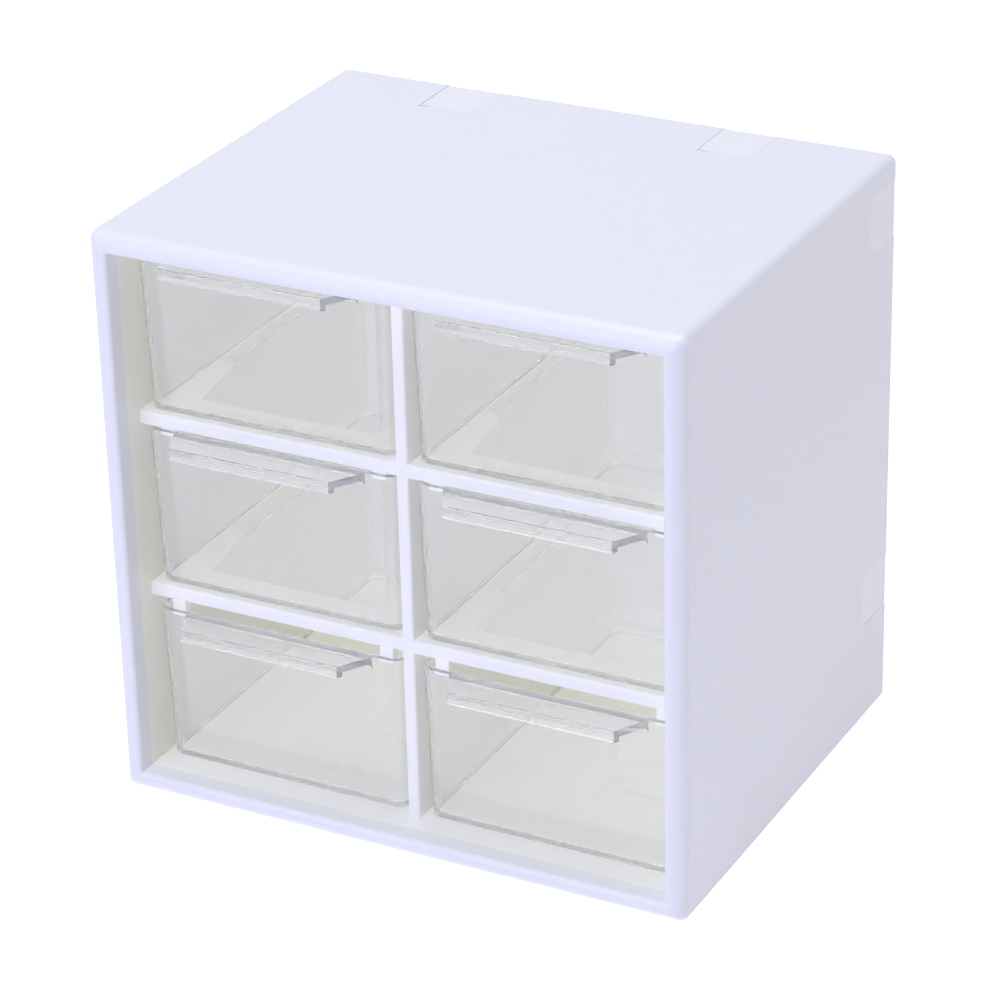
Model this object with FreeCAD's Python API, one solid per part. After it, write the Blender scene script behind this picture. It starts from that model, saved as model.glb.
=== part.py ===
import FreeCAD, Part
import os

# Desktop organizer: a white cabinet that holds six clear drawers, two across and three high.
# Millimetres. X runs to the right, Y to the rear and Z up.
# The origin is the middle of the cabinet's underside, and the drawers open towards -Y.

Vector = FreeCAD.Vector

# Cabinet, outside
cabinet_width = 150.0
cabinet_depth = 120.0
rim_width = 5.0
rim_depth = 5.0
rim_outer_radius = 3.6
rim_inner_radius = 1.2
long_edge_radius = 2.0
rear_edge_radius = 0.5
shell_wall = 2.2

# Inner frame: what stands between the drawers
frame_clearance = 0.3
bottom_row_height = 44.2
middle_row_height = 41.7
top_row_height = 43.1
divider_thickness = 3.1
shelf_thickness = 3.5
grid_setback = 10.0
grid_edge_radius = 0.6
bar_depth = 10.5
leg_length = 22.0
leg_width_front = 11.0
leg_width_rear = 7.5
leg_end_radius = 3.0
rail_width = 3.2
rail_thickness = 2.0

# Stop tabs that hang behind each drawer's front panel
tab_width = 3.5
tab_depth = 2.2
tab_spread = 28.4
tab_overlap = 1.6
tab_clearance = 0.8

# Rear cover and its snap tongues
cover_thickness = 2.4
cover_clearance = 0.2
cover_edge_radius = 0.5
tongue_width = 13.5
tongue_length = 15.5
tongue_clearance = 0.15
tongue_sink = 0.1
level_tongue_x = 37.5
lower_side_tongue_z = 33.8
upper_side_tongue_z = 132.5
hook_width = 8.0
hook_length = 2.0
hook_height = 1.1
hook_setback = 1.5
hook_clearance = 0.25
slit_length = 3.2
slit_width = 1.0

# Drawers, all six alike
drawer_front_setback = 10.8
drawer_rear_clearance = 2.1
drawer_side_clearance = 0.45
drawer_top_clearance = 1.3
drawer_slide_clearance = 0.1
drawer_wall = 1.2
drawer_base = 1.1
drawer_side_draft = 0.7
drawer_end_draft = 1.2
drawer_corner_radius = 3.8
drawer_foot_radius = 0.4
drawer_bottom_fillet = 0.6

# Handle plate at the top of each drawer's front panel
handle_root_length = 51.0
handle_taper = 4.25
handle_reach = 9.3
handle_rise = 0.8
handle_plate = 1.8
handle_lip_height = 3.1
handle_lip_thickness = 1.5
handle_root_radius = 1.8
handle_edge_radius = 0.4

# Places worked out from the sizes above
half_width = cabinet_width / 2
front_y = -cabinet_depth / 2
rear_y = cabinet_depth / 2
rows_height = bottom_row_height + middle_row_height + top_row_height
cabinet_height = 2 * rim_width + rows_height + 2 * shelf_thickness
wall_x = half_width - rim_width
floor_z = rim_width
ceiling_z = cabinet_height - rim_width
frame_inset = shell_wall + frame_clearance
frame_front_y = front_y + rim_depth
cover_front_y = rear_y - cover_thickness
frame_rear_y = cover_front_y - frame_clearance
grid_front_y = front_y + grid_setback
bar_rear_y = grid_front_y + bar_depth
leg_rear_y = bar_rear_y + leg_length
tongue_front_y = rear_y - tongue_length

column_inner_x = divider_thickness / 2
column_width = wall_x - column_inner_x
column_centre_x = (wall_x + column_inner_x) / 2
columns = {"left": -column_centre_x, "right": column_centre_x}

middle_shelf_z = floor_z + bottom_row_height + shelf_thickness
top_shelf_z = middle_shelf_z + middle_row_height + shelf_thickness
row_floors = {"bottom": floor_z, "middle": middle_shelf_z, "top": top_shelf_z}
row_ceilings = {
    "bottom": middle_shelf_z - shelf_thickness,
    "middle": top_shelf_z - shelf_thickness,
    "top": ceiling_z,
}

drawer_height = min(bottom_row_height, middle_row_height, top_row_height) - drawer_top_clearance
drawer_half_width = column_width / 2 - drawer_side_clearance
drawer_front_y = front_y + drawer_front_setback
drawer_rear_y = cover_front_y - drawer_rear_clearance
tab_front_y = drawer_front_y + drawer_wall + tab_clearance
tab_rear_y = tab_front_y + tab_depth

tongue_places = [
    (wall, centre)
    for wall, centres in (
        ("top", (-level_tongue_x, level_tongue_x)),
        ("bottom", (-level_tongue_x, level_tongue_x)),
        ("left", (lower_side_tongue_z, upper_side_tongue_z)),
        ("right", (lower_side_tongue_z, upper_side_tongue_z)),
    )
    for centre in centres
]

tolerance = 1e-4
overshoot = 1.0
weld = 0.5


def block(x_low, x_high, y_low, y_high, z_low, z_high):
    corner = Vector(x_low, y_low, z_low)
    return Part.makeBox(x_high - x_low, y_high - y_low, z_high - z_low, corner)


def wall_block(wall, centre, width, outer, inner, y_low, y_high):
    """A block in one wall, between two depths below the cabinet's outer face."""
    low = centre - width / 2
    high = centre + width / 2
    if wall == "top":
        return block(low, high, y_low, y_high, cabinet_height - inner, cabinet_height - outer)
    if wall == "bottom":
        return block(low, high, y_low, y_high, outer, inner)
    if wall == "left":
        return block(outer - half_width, inner - half_width, y_low, y_high, low, high)
    return block(half_width - inner, half_width - outer, y_low, y_high, low, high)


def lies_at_y(edge, y):
    box = edge.BoundBox
    return abs(box.YMin - y) < tolerance and abs(box.YMax - y) < tolerance


def runs_along_y(edge):
    box = edge.BoundBox
    return box.YLength > box.XLength + tolerance and box.YLength > box.ZLength + tolerance


def outer_shell():
    """The white sleeve: a rounded front rim, thin walls and open notches at the rear."""
    body = block(-half_width, half_width, front_y, rear_y, 0, cabinet_height)
    body = body.makeFillet(rim_outer_radius, [e for e in body.Edges if lies_at_y(e, front_y)])
    long_edges = [e for e in body.Edges if runs_along_y(e) and e.BoundBox.YMax > 0]
    body = body.makeFillet(long_edge_radius, long_edges)
    body = body.makeFillet(rear_edge_radius, [e for e in body.Edges if lies_at_y(e, rear_y)])
    cavity_x = half_width - shell_wall
    cavity_top = cabinet_height - shell_wall
    cavity = block(-cavity_x, cavity_x, frame_front_y, rear_y + overshoot, shell_wall, cavity_top)
    window = block(-wall_x, wall_x, front_y - overshoot, rear_y, floor_z, ceiling_z)
    body = body.cut([cavity, window])
    window_edges = [
        e for e in body.Edges
        if lies_at_y(e, front_y)
        and e.BoundBox.XMax < wall_x + tolerance
        and e.BoundBox.XMin > -wall_x - tolerance
        and e.BoundBox.ZMin > floor_z - tolerance
        and e.BoundBox.ZMax < ceiling_z + tolerance
    ]
    body = body.makeFillet(rim_inner_radius, window_edges)
    return body.cut([tongue_notch(*place) for place in tongue_places] + tongue_slits())


def tongue_notch(wall, centre):
    width = tongue_width + 2 * tongue_clearance
    y_low = tongue_front_y - tongue_clearance
    return wall_block(wall, centre, width, -overshoot, frame_inset, y_low, rear_y + overshoot)


def tongue_slits():
    """The short release slit at the front left corner of each notch in the top."""
    slits = []
    for wall, centre in tongue_places:
        if wall == "top":
            left = centre - tongue_width / 2 - tongue_clearance
            y_low = tongue_front_y - slit_width
            slit_centre = left + slit_length / 2
            slits.append(
                wall_block(wall, slit_centre, slit_length, -overshoot, frame_inset,
                           y_low, tongue_front_y)
            )
    return slits


def snap_hook(wall, centre, grow):
    """The catch under a tongue's tip. With grow it is the pocket that takes the catch."""
    y_low = tongue_front_y + hook_setback - grow
    y_high = tongue_front_y + hook_setback + hook_length + grow
    inner = shell_wall + hook_height + grow
    return wall_block(wall, centre, hook_width + 2 * grow, shell_wall - tongue_sink, inner,
                      y_low, y_high)


def shelf(z_top, centre_x):
    """A shelf of one compartment: a front bar, two tapered legs and two rails behind them."""
    z_low = z_top - shelf_thickness
    left = centre_x - column_width / 2
    right = centre_x + column_width / 2
    corners = [
        (left - weld, grid_front_y),
        (right + weld, grid_front_y),
        (right + weld, leg_rear_y),
        (right - leg_width_rear, leg_rear_y),
        (right - leg_width_front, bar_rear_y),
        (left + leg_width_front, bar_rear_y),
        (left + leg_width_rear, leg_rear_y),
        (left - weld, leg_rear_y),
    ]
    points = [Vector(x, y, z_low) for x, y in corners]
    face = Part.Face(Part.makePolygon(points + points[:1]))
    plate = face.extrude(Vector(0, 0, shelf_thickness))
    leg_ends = [
        e for e in plate.Edges
        if e.BoundBox.ZLength > tolerance
        and abs(e.BoundBox.YMin - leg_rear_y) < tolerance
        and left + tolerance < e.BoundBox.XMin < right - tolerance
    ]
    plate = plate.makeFillet(leg_end_radius, leg_ends)
    rail_y = leg_rear_y - leg_end_radius - weld
    rail_z = z_top - rail_thickness
    left_rail = block(left - weld, left + rail_width, rail_y, frame_rear_y, rail_z, z_top)
    right_rail = block(right - rail_width, right + weld, rail_y, frame_rear_y, rail_z, z_top)
    return [plate, left_rail, right_rail]


def stop_tabs(row, centre_x):
    """Two tabs above one drawer. They hang just inside its front panel, below its rim."""
    z_low = row_floors[row] + drawer_slide_clearance + drawer_height - tab_overlap
    z_high = row_ceilings[row] + weld
    tabs = []
    for side in (-1, 1):
        x = centre_x + side * tab_spread
        tabs.append(
            block(x - tab_width / 2, x + tab_width / 2, tab_front_y, tab_rear_y, z_low, z_high)
        )
    return tabs


def inner_frame():
    """One moulding behind the rim: walls, divider, shelves and stop tabs."""
    frame_x = half_width - frame_inset
    frame_top = cabinet_height - frame_inset
    tube = block(-frame_x, frame_x, frame_front_y, frame_rear_y, frame_inset, frame_top)
    hollow = block(-wall_x, wall_x, front_y, rear_y, floor_z, ceiling_z)
    tube = tube.cut(hollow)
    pieces = [
        block(-column_inner_x, column_inner_x, grid_front_y, frame_rear_y,
              floor_z - weld, ceiling_z + weld)
    ]
    for centre_x in columns.values():
        pieces += shelf(middle_shelf_z, centre_x)
        pieces += shelf(top_shelf_z, centre_x)
        for row in row_floors:
            pieces += stop_tabs(row, centre_x)
    body = tube.fuse(pieces).removeSplitter()
    body = body.makeFillet(grid_edge_radius, grid_front_edges(body))
    return body.cut([snap_hook(*place, hook_clearance) for place in tongue_places])


def grid_front_edges(body):
    """The front edges of the divider and the bars, without those that lie on a wall."""
    edges = []
    for edge in body.Edges:
        box = edge.BoundBox
        on_wall = min(abs(abs(box.XMin) - wall_x), abs(abs(box.XMax) - wall_x)) < tolerance
        on_wall = on_wall and box.XLength < tolerance
        on_level = min(abs(box.ZMin - floor_z), abs(box.ZMax - ceiling_z)) < tolerance
        on_level = on_level and box.ZLength < tolerance
        if lies_at_y(edge, grid_front_y) and not on_wall and not on_level:
            edges.append(edge)
    return edges


def rear_cover():
    """The panel that closes the rear, with snap tongues that lie in the shell's notches."""
    inset = shell_wall + cover_clearance
    panel_x = half_width - inset
    panel_top = cabinet_height - inset
    body = block(-panel_x, panel_x, cover_front_y, rear_y, inset, panel_top)
    body = body.makeFillet(cover_edge_radius, [e for e in body.Edges if lies_at_y(e, rear_y)])
    pieces = []
    for wall, centre in tongue_places:
        pieces.append(
            wall_block(wall, centre, tongue_width, tongue_sink, shell_wall,
                       tongue_front_y, rear_y - rear_edge_radius)
        )
        pieces.append(
            wall_block(wall, centre, tongue_width, tongue_sink, inset + weld,
                       cover_front_y, rear_y - rear_edge_radius)
        )
        pieces.append(snap_hook(wall, centre, 0))
    return body.fuse(pieces).removeSplitter()


def rounded_rectangle(half_x, y_low, y_high, radius, z):
    """A closed outline with four arcs, centred on X = 0."""
    middle = radius * (1 - 0.5 ** 0.5)
    left, right = -half_x, half_x
    edges = [
        Part.LineSegment(Vector(left + radius, y_low, z), Vector(right - radius, y_low, z)),
        Part.Arc(Vector(right - radius, y_low, z), Vector(right - middle, y_low + middle, z),
                 Vector(right, y_low + radius, z)),
        Part.LineSegment(Vector(right, y_low + radius, z), Vector(right, y_high - radius, z)),
        Part.Arc(Vector(right, y_high - radius, z), Vector(right - middle, y_high - middle, z),
                 Vector(right - radius, y_high, z)),
        Part.LineSegment(Vector(right - radius, y_high, z), Vector(left + radius, y_high, z)),
        Part.Arc(Vector(left + radius, y_high, z), Vector(left + middle, y_high - middle, z),
                 Vector(left, y_high - radius, z)),
        Part.LineSegment(Vector(left, y_high - radius, z), Vector(left, y_low + radius, z)),
        Part.Arc(Vector(left, y_low + radius, z), Vector(left + middle, y_low + middle, z),
                 Vector(left + radius, y_low, z)),
    ]
    return Part.Wire([edge.toShape() for edge in edges])


def tapered_tub(inset, z_low, z_high):
    """A solid that narrows downwards as the drawer does, drawn in by inset all round."""
    outlines = []
    for z in (z_low, z_high):
        down = 1 - z / drawer_height
        half_x = drawer_half_width - inset - drawer_side_draft * down
        y_low = drawer_front_y + inset + drawer_end_draft * down
        y_high = drawer_rear_y - inset - drawer_end_draft * down
        outlines.append(
            rounded_rectangle(half_x, y_low, y_high, drawer_corner_radius - inset, z)
        )
    return Part.makeLoft(outlines, True, True)


def level_edges(body, z):
    return [
        e for e in body.Edges
        if abs(e.BoundBox.ZMin - z) < tolerance and abs(e.BoundBox.ZMax - z) < tolerance
    ]


def handle():
    """The pull plate: a trapezoid that rises a little forwards and has a down-turned lip."""
    root_y = drawer_front_y + drawer_wall / 2
    tip_y = drawer_front_y - handle_reach
    lip_y = tip_y + handle_lip_thickness
    slope = handle_rise / handle_reach
    tip_z = drawer_height + handle_rise
    lip_z = tip_z - handle_lip_height
    under_z = drawer_height - handle_plate
    under_lip_z = under_z + slope * (handle_reach - handle_lip_thickness)
    under_arc_z = under_z + slope * handle_root_radius
    arc_y = drawer_front_y - handle_root_radius
    arc_z = under_arc_z - handle_root_radius
    half_chord = handle_root_radius * 0.5 ** 0.5
    half = handle_root_length / 2
    outline = [
        (root_y, arc_z),
        (root_y, drawer_height),
        (drawer_front_y, drawer_height),
        (tip_y, tip_z),
        (tip_y, lip_z),
        (lip_y, lip_z),
        (lip_y, under_lip_z),
        (arc_y, under_arc_z),
    ]
    points = [Vector(-half, y, z) for y, z in outline]
    edges = [Part.LineSegment(a, b).toShape() for a, b in zip(points, points[1:])]
    root_arc = Part.Arc(
        points[-1],
        Vector(-half, arc_y + half_chord, arc_z + half_chord),
        Vector(-half, drawer_front_y, arc_z),
    )
    edges.append(root_arc.toShape())
    edges.append(Part.LineSegment(Vector(-half, drawer_front_y, arc_z), points[0]).toShape())
    plate = Part.Face(Part.Wire(edges)).extrude(Vector(handle_root_length, 0, 0))
    rounded = [
        e for e in plate.Edges
        if e.BoundBox.XLength > tolerance
        and (lies_at_y(e, tip_y) or lies_at_y(e, lip_y))
        and abs(e.BoundBox.ZMax - under_lip_z) > tolerance
    ]
    plate = plate.makeFillet(handle_edge_radius, rounded)
    return plate.cut([handle_end_cutter(side) for side in (-1, 1)])


def handle_end_cutter(side):
    """A wedge outside one slanted end of the handle."""
    half = handle_root_length / 2
    tip_y = drawer_front_y - handle_reach
    slant = handle_taper / handle_reach
    far = side * (half + overshoot)
    corners = [
        (side * half, drawer_front_y),
        (side * (half - handle_taper - slant * overshoot), tip_y - overshoot),
        (far, tip_y - overshoot),
        (far, drawer_front_y),
    ]
    z_low = drawer_height - handle_plate - handle_root_radius - overshoot
    points = [Vector(x, y, z_low) for x, y in corners]
    face = Part.Face(Part.makePolygon(points + points[:1]))
    height = drawer_height + handle_rise + overshoot - z_low
    return face.extrude(Vector(0, 0, height))


def drawer():
    """One clear drawer with its handle, its base at Z = 0 and its middle at X = 0."""
    body = tapered_tub(0, 0, drawer_height)
    body = body.makeFillet(drawer_foot_radius, level_edges(body, 0))
    hollow = tapered_tub(drawer_wall, drawer_base, drawer_height + overshoot)
    hollow = hollow.makeFillet(drawer_bottom_fillet, level_edges(hollow, drawer_base))
    return body.fuse(handle()).cut(hollow).removeSplitter()


def drawer_travel():
    """How far a drawer opens before its rear wall meets the stop tabs."""
    inner_rear_y = drawer_rear_y - drawer_wall - drawer_end_draft * tab_overlap / drawer_height
    return inner_rear_y - tab_clearance - tab_rear_y


def write(name, shape):
    shape.exportStep("parts/" + name + ".step")
    print(name, "valid", shape.isValid(), "solids", len(shape.Solids), "volume", round(shape.Volume))


def main():
    os.makedirs("parts", exist_ok=True)
    write("outer_shell", outer_shell())
    write("inner_frame", inner_frame())
    write("rear_cover", rear_cover())
    for row, base_z in row_floors.items():
        for column, centre_x in columns.items():
            body = drawer()
            body.translate(Vector(centre_x, 0, base_z + drawer_slide_clearance))
            write("drawer_" + row + "_" + column, body)
    print("drawer travel", round(drawer_travel(), 2))


main()
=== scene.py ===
import math

import bpy
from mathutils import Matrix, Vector


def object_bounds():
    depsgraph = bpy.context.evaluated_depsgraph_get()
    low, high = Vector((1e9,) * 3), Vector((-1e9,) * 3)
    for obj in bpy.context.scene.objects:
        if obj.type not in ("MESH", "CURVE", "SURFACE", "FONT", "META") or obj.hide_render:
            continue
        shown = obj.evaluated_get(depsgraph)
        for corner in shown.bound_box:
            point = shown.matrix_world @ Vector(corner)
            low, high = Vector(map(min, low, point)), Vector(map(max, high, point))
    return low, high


# A white desktop organizer with six clear drawers, in metres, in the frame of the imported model.

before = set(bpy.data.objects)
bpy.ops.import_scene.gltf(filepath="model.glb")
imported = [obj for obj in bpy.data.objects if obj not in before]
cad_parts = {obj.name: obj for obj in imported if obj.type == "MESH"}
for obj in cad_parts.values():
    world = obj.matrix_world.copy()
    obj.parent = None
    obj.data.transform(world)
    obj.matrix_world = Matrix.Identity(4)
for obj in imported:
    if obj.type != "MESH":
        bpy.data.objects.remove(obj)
cad_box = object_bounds()

mm = 0.001

# Noise stays mostly between these two values
noise_low = 0.3
noise_high = 0.7

# White plastic: colours as linear light, and patterns in features per metre
shell_white = (0.86, 0.865, 0.95)
shell_white_shade = (0.85, 0.855, 0.935)
cover_white = (0.90, 0.895, 0.97)
cover_white_shade = (0.89, 0.885, 0.955)
# Inner frame: its warmer tone is partly painted shade, the warm tint of its shaded inside and side walls.
# The cooler white after it is a painted highlight on its lit front edges
frame_white = (0.935, 0.935, 0.88)
frame_white_shade = (0.925, 0.925, 0.865)
painted_lit_front_white = (0.96, 0.955, 0.985)
# Where the painted lit white of the front edges gives way to the painted warm shade inside and on the
# side walls
front_white_until = -49 * mm
inside_white_from = -42 * mm
front_white_out_to = 69.3 * mm
side_wall_from = 69.9 * mm
glow_through = (0.98, 0.98, 0.95)
glow_share = 0.80
clouds_per_metre = 22
waves_per_metre = 90
wave_height = 0.03 * mm
wave_strength = 0.6
grain_per_metre = 1400
grain_height = 0.01 * mm
grain_strength = 0.5
white_roughness = (0.30, 0.34)
white_ior = 1.5
white_soft_share = 0.15
white_soft_spread = (1, 0.9, 0.8)
white_soft_depth = 1.0 * mm

# Clear plastic
clear_plastic = (0.97, 0.97, 0.985)
clear_share = 0.92
clear_to_light = (0.99, 0.99, 0.985)
clear_depth_colour = (0.70, 0.73, 0.80)
clear_depth_density = 3.5
clear_ior = 1.54
flow_per_metre = 12
flow_height = 0.002 * mm
flow_strength = 0.3
haze_per_metre = 300
haze_roughness = (0.0, 0.01)

# Floor
floor_colour = (0.955, 0.955, 0.960)
floor_reach = 12.0
floor_roughness = (0.8, 0.95)
floor_gloss = 0.1
tooth_per_metre = 500
floor_lift_near = 0.45
floor_lift_far = 1.0
floor_lift_from = 0.30
floor_lift_to = 1.5

# Light
sky_light = (0.055, 0.058, 0.19)
backdrop_white = (1, 1, 1)
room_colour = (0.22, 0.24, 0.32)
room_from = -0.45
room_to = 0.05
lamp_distance = 1.6
lamps = {
    "top": {"direction": (0.0, 0.0, 1.0), "size": 1.2, "power": 16.4, "colour": (0.97, 1.0, 0.94)},
    "key": {"direction": (-0.30, -0.45, 0.90), "size": 0.9, "power": 2.3, "colour": (0.94, 1.0, 0.90)},
    "front": {"direction": (-0.20, -1.0, 0.32), "size": 1.2, "power": 10.9, "colour": (0.99, 0.98, 1.12)},
    "right": {"direction": (1.0, 0.1, 0.25), "size": 1.2, "power": 6.5, "colour": (1.06, 1.0, 0.74)},
    "rear": {"direction": (-0.8, 0.8, 0.35), "size": 1.2, "power": 2.8, "colour": (1.10, 1.0, 0.62)},
}
lamps_without_gloss = ["rear"]
light_bounces = 32
diffuse_bounces = 8

# Camera, as the photograph was taken
camera_place = (0.38859, -0.73783, 0.47347)
camera_turn = (63.980, 1.225, 27.249)
camera_lens = 138.59
camera_sensor = 36


def emptied(tree):
    """Clears a node tree. Returns a function that adds a node to it, and one that links two sockets."""
    tree.nodes.clear()

    def add(kind, **settings):
        node = tree.nodes.new(kind)
        for setting, value in settings.items():
            setattr(node, setting, value)
        return node

    return add, tree.links.new


def new_material(name):
    """An empty node material, and its two functions for nodes and links."""
    material = bpy.data.materials.new(name)
    material.use_nodes = True
    return material, *emptied(material.node_tree)


def place_noise(add, link, per_metre, detail):
    """Noise that is fixed to the piece, with its grain set in features per metre."""
    place = add("ShaderNodeTexCoord")
    noise = add("ShaderNodeTexNoise")
    noise.inputs["Scale"].default_value = per_metre
    noise.inputs["Detail"].default_value = detail
    link(place.outputs["Object"], noise.inputs["Vector"])
    return noise.outputs["Fac"]


def ramp_between(add, link, factor, low, high):
    """A number that runs from low to high as the factor runs through the range of the noise."""
    spread = add("ShaderNodeMapRange")
    spread.inputs["From Min"].default_value = noise_low
    spread.inputs["From Max"].default_value = noise_high
    spread.inputs["To Min"].default_value = low
    spread.inputs["To Max"].default_value = high
    link(factor, spread.inputs["Value"])
    return spread.outputs["Result"]


def rise_between(add, link, value, start, end, low=0.0, high=1.0):
    """A number that rises smoothly from low to high as the value runs from start to end."""
    rise = add("ShaderNodeMapRange", interpolation_type="SMOOTHSTEP")
    rise.inputs["From Min"].default_value = start
    rise.inputs["From Max"].default_value = end
    rise.inputs["To Min"].default_value = low
    rise.inputs["To Max"].default_value = high
    link(value, rise.inputs["Value"])
    return rise.outputs["Result"]


def larger_of(add, link, first, second):
    """The larger of two numbers."""
    larger = add("ShaderNodeMath", operation="MAXIMUM")
    link(first, larger.inputs[0])
    link(second, larger.inputs[1])
    return larger.outputs[0]


def colour_between(add, link, factor, low, high):
    """A colour mixed from two by the factor."""
    mix = add("ShaderNodeMix", data_type="RGBA")
    mix.inputs[6].default_value = (*low, 1)
    mix.inputs[7].default_value = (*high, 1)
    link(factor, mix.inputs[0])
    return mix.outputs[2]


def mixed(add, link, share, first, second):
    """Two shaders mixed. The share of the second is a number or the output of a node."""
    mix = add("ShaderNodeMixShader")
    if isinstance(share, float):
        mix.inputs["Fac"].default_value = share
    else:
        link(share, mix.inputs["Fac"])
    link(first, mix.inputs[1])
    link(second, mix.inputs[2])
    return mix.outputs["Shader"]


def see_through(add, colour):
    """A shader that lets light go straight through, in a colour."""
    clear = add("ShaderNodeBsdfTransparent")
    clear.inputs["Color"].default_value = (*colour, 1)
    return clear.outputs["BSDF"]


def bump(add, link, height, distance, strength, normal=None):
    """A bump of a real height in metres."""
    node = add("ShaderNodeBump")
    node.inputs["Distance"].default_value = distance
    node.inputs["Strength"].default_value = strength
    link(height, node.inputs["Height"])
    if normal is not None:
        link(normal, node.inputs["Normal"])
    return node.outputs["Normal"]


def paint_lit_front(add, link, inside):
    """Painted light: a cooler, lit white painted on the frame's front edges, and the given colour inside
    and on the side walls, where the frame is in shade.
    """
    place = add("ShaderNodeTexCoord")
    along = add("ShaderNodeSeparateXYZ")
    link(place.outputs["Object"], along.inputs[0])
    aside = add("ShaderNodeMath", operation="ABSOLUTE")
    link(along.outputs["X"], aside.inputs[0])
    behind_front = rise_between(add, link, along.outputs["Y"], front_white_until, inside_white_from)
    on_side_wall = rise_between(add, link, aside.outputs[0], front_white_out_to, side_wall_from)
    mix = add("ShaderNodeMix", data_type="RGBA")
    mix.inputs[6].default_value = (*painted_lit_front_white, 1)
    link(larger_of(add, link, behind_front, on_side_wall), mix.inputs[0])
    link(inside, mix.inputs[7])
    return mix.outputs[2]


def moulded_white(name, colour, shade, with_painted_lit_front=False):
    """Glossy white moulded plastic with flow clouds and fine grain, which lamps glow through."""
    material, add, link = new_material(name)
    shader = add("ShaderNodeBsdfPrincipled")
    clouds = place_noise(add, link, clouds_per_metre, detail=3.0)
    grain = place_noise(add, link, grain_per_metre, detail=2.0)
    waves = place_noise(add, link, waves_per_metre, detail=1.0)
    base = colour_between(add, link, clouds, shade, colour)
    # Painted highlight: a cooler lit white on the front edges, over the shaded inside colour
    if with_painted_lit_front:
        base = paint_lit_front(add, link, base)
    link(base, shader.inputs["Base Color"])
    link(ramp_between(add, link, waves, *white_roughness), shader.inputs["Roughness"])
    ripple = bump(add, link, waves, wave_height, wave_strength)
    link(bump(add, link, grain, grain_height, grain_strength, ripple), shader.inputs["Normal"])
    shader.inputs["IOR"].default_value = white_ior
    shader.inputs["Subsurface Weight"].default_value = white_soft_share
    shader.inputs["Subsurface Radius"].default_value = white_soft_spread
    shader.inputs["Subsurface Scale"].default_value = white_soft_depth
    plastic = shader.outputs["BSDF"]
    to_lamps = mixed(add, link, glow_share, plastic, see_through(add, glow_through))
    ray = add("ShaderNodeLightPath")
    output = add("ShaderNodeOutputMaterial")
    link(mixed(add, link, ray.outputs["Is Shadow Ray"], plastic, to_lamps), output.inputs["Surface"])
    return material


def moulded_clear():
    """Clear moulded plastic: it bends light, lets the lamps through and darkens with depth."""
    material, add, link = new_material("moulded_clear")
    shader = add("ShaderNodeBsdfPrincipled")
    shader.inputs["Base Color"].default_value = (*clear_plastic, 1)
    shader.inputs["Transmission Weight"].default_value = clear_share
    shader.inputs["IOR"].default_value = clear_ior
    flow = place_noise(add, link, flow_per_metre, detail=1.0)
    haze = place_noise(add, link, haze_per_metre, detail=3.0)
    link(ramp_between(add, link, haze, *haze_roughness), shader.inputs["Roughness"])
    link(bump(add, link, flow, flow_height, flow_strength), shader.inputs["Normal"])
    straight = see_through(add, clear_to_light)
    ray = add("ShaderNodeLightPath")
    to_walls = mixed(add, link, ray.outputs["Is Diffuse Ray"], shader.outputs["BSDF"], straight)
    to_lamps = mixed(add, link, ray.outputs["Is Shadow Ray"], to_walls, straight)
    depth = add("ShaderNodeVolumeAbsorption")
    depth.inputs["Color"].default_value = (*clear_depth_colour, 1)
    depth.inputs["Density"].default_value = clear_depth_density
    output = add("ShaderNodeOutputMaterial")
    link(to_lamps, output.inputs["Surface"])
    link(depth.outputs["Volume"], output.inputs["Volume"])
    return material


def pale_floor():
    """Plain pale paper, with a faint tooth."""
    material, add, link = new_material("pale_floor")
    shader = add("ShaderNodeBsdfPrincipled")
    shader.inputs["Base Color"].default_value = (*floor_colour, 1)
    shader.inputs["Specular IOR Level"].default_value = floor_gloss
    tooth = place_noise(add, link, tooth_per_metre, detail=2.0)
    link(ramp_between(add, link, tooth, *floor_roughness), shader.inputs["Roughness"])
    place = add("ShaderNodeTexCoord")
    distance = add("ShaderNodeVectorMath", operation="LENGTH")
    link(place.outputs["Object"], distance.inputs[0])
    away = rise_between(add, link, distance.outputs["Value"],
                        floor_lift_from, floor_lift_to, floor_lift_near, floor_lift_far)
    seen = add("ShaderNodeMath", operation="MULTIPLY")
    link(away, seen.inputs[0])
    link(seen_as_backdrop(add, link), seen.inputs[1])
    lift = add("ShaderNodeEmission")
    link(seen.outputs[0], lift.inputs["Strength"])
    both = add("ShaderNodeAddShader")
    link(shader.outputs["BSDF"], both.inputs[0])
    link(lift.outputs["Emission"], both.inputs[1])
    output = add("ShaderNodeOutputMaterial")
    link(both.outputs["Shader"], output.inputs["Surface"])
    return material


def seen_as_backdrop(add, link):
    """0 for rays that light the object, and 1 where the backdrop is seen."""
    ray = add("ShaderNodeLightPath")
    direct = larger_of(add, link, ray.outputs["Is Camera Ray"], ray.outputs["Is Glossy Ray"])
    return larger_of(add, link, direct, ray.outputs["Is Transmission Ray"])


def dress(node_names, material):
    """Gives carried-over nodes their finish."""
    for name in node_names:
        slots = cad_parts[name].material_slots
        for slot in slots:
            slot.material = material


def make_floor():
    """The floor that the organizer stands on."""
    mesh = bpy.data.meshes.new("floor")
    far = floor_reach
    corners = [(-far, -far, 0), (far, -far, 0), (far, far, 0), (-far, far, 0)]
    mesh.from_pydata(corners, [], [(0, 1, 2, 3)])
    floor = bpy.data.objects.new("floor", mesh)
    floor.data.materials.append(pale_floor())
    bpy.context.scene.collection.objects.link(floor)


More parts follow.
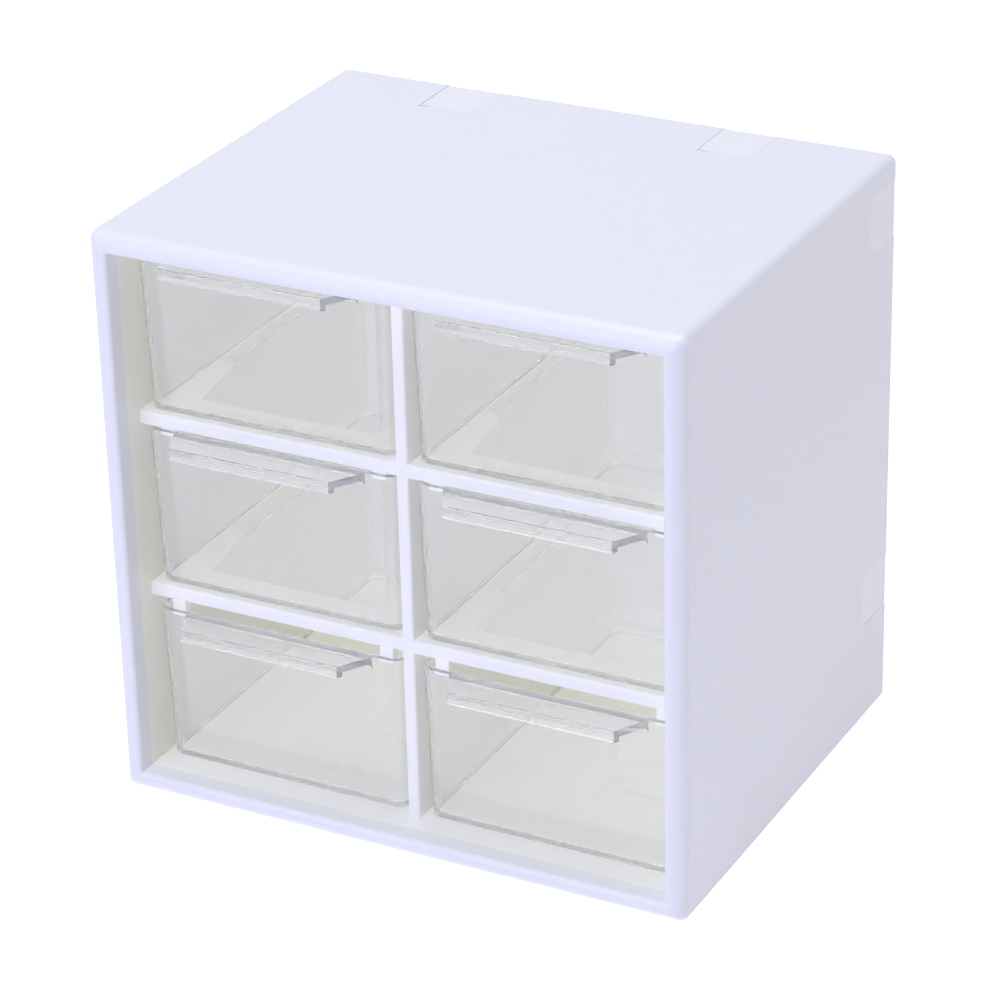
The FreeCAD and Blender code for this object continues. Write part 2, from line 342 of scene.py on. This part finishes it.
def make_world():
    """An even sky that is white to see, with a dim room in front that gloss and clear plastic show."""
    world = bpy.data.worlds.new("studio")
    bpy.context.scene.world = world
    world.use_nodes = True
    add, link = emptied(world.node_tree)
    place = add("ShaderNodeTexCoord")
    direction = add("ShaderNodeSeparateXYZ")
    link(place.outputs["Generated"], direction.inputs[0])
    behind = rise_between(add, link, direction.outputs["Y"], room_from, room_to)
    ray = add("ShaderNodeLightPath")
    bright = larger_of(add, link, behind, ray.outputs["Is Camera Ray"])
    seen_colour = colour_between(add, link, bright, room_colour, backdrop_white)
    either = add("ShaderNodeMix", data_type="RGBA")
    link(seen_as_backdrop(add, link), either.inputs[0])
    either.inputs[6].default_value = (*sky_light, 1)
    link(seen_colour, either.inputs[7])
    sky = add("ShaderNodeBackground")
    link(either.outputs[2], sky.inputs["Color"])
    output = add("ShaderNodeOutputWorld")
    link(sky.outputs["Background"], output.inputs["Surface"])


def make_lamps():
    """Square softboxes that face the middle of the organizer."""
    middle = (cad_box[0] + cad_box[1]) / 2
    for name, box in lamps.items():
        lamp = bpy.data.lights.new(name, "AREA")
        lamp.shape = "SQUARE"
        lamp.size = box["size"]
        lamp.energy = box["power"]
        lamp.color = box["colour"]
        holder = bpy.data.objects.new(name, lamp)
        away = Vector(box["direction"]).normalized()
        holder.location = middle + away * lamp_distance
        holder.rotation_euler = away.to_track_quat("Z", "Y").to_euler()
        holder.visible_glossy = name not in lamps_without_gloss
        bpy.context.scene.collection.objects.link(holder)


def make_camera():
    """The camera, from the photograph's viewpoint."""
    camera = bpy.data.cameras.new("camera")
    camera.lens = camera_lens
    camera.sensor_width = camera_sensor
    holder = bpy.data.objects.new("camera", camera)
    holder.location = camera_place
    holder.rotation_euler = [math.radians(angle) for angle in camera_turn]
    bpy.context.scene.collection.objects.link(holder)
    bpy.context.scene.camera = holder


drawer_names = sorted(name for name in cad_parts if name.startswith("drawer_"))
dress(["outer_shell"], moulded_white("shell_white", shell_white, shell_white_shade))
dress(["rear_cover"], moulded_white("cover_white", cover_white, cover_white_shade))
# The frame's colour carries painted warm shade inside and a painted highlight on its front edges
dress(["inner_frame"], moulded_white("frame_white", frame_white, frame_white_shade, with_painted_lit_front=True))
dress(drawer_names, moulded_clear())
make_floor()
make_world()
make_lamps()
make_camera()
bpy.context.scene.view_settings.view_transform = "Standard"
cycles = bpy.context.scene.cycles
cycles.max_bounces = light_bounces
cycles.diffuse_bounces = diffuse_bounces
cycles.glossy_bounces = light_bounces
cycles.transmission_bounces = light_bounces
cycles.transparent_max_bounces = light_bounces
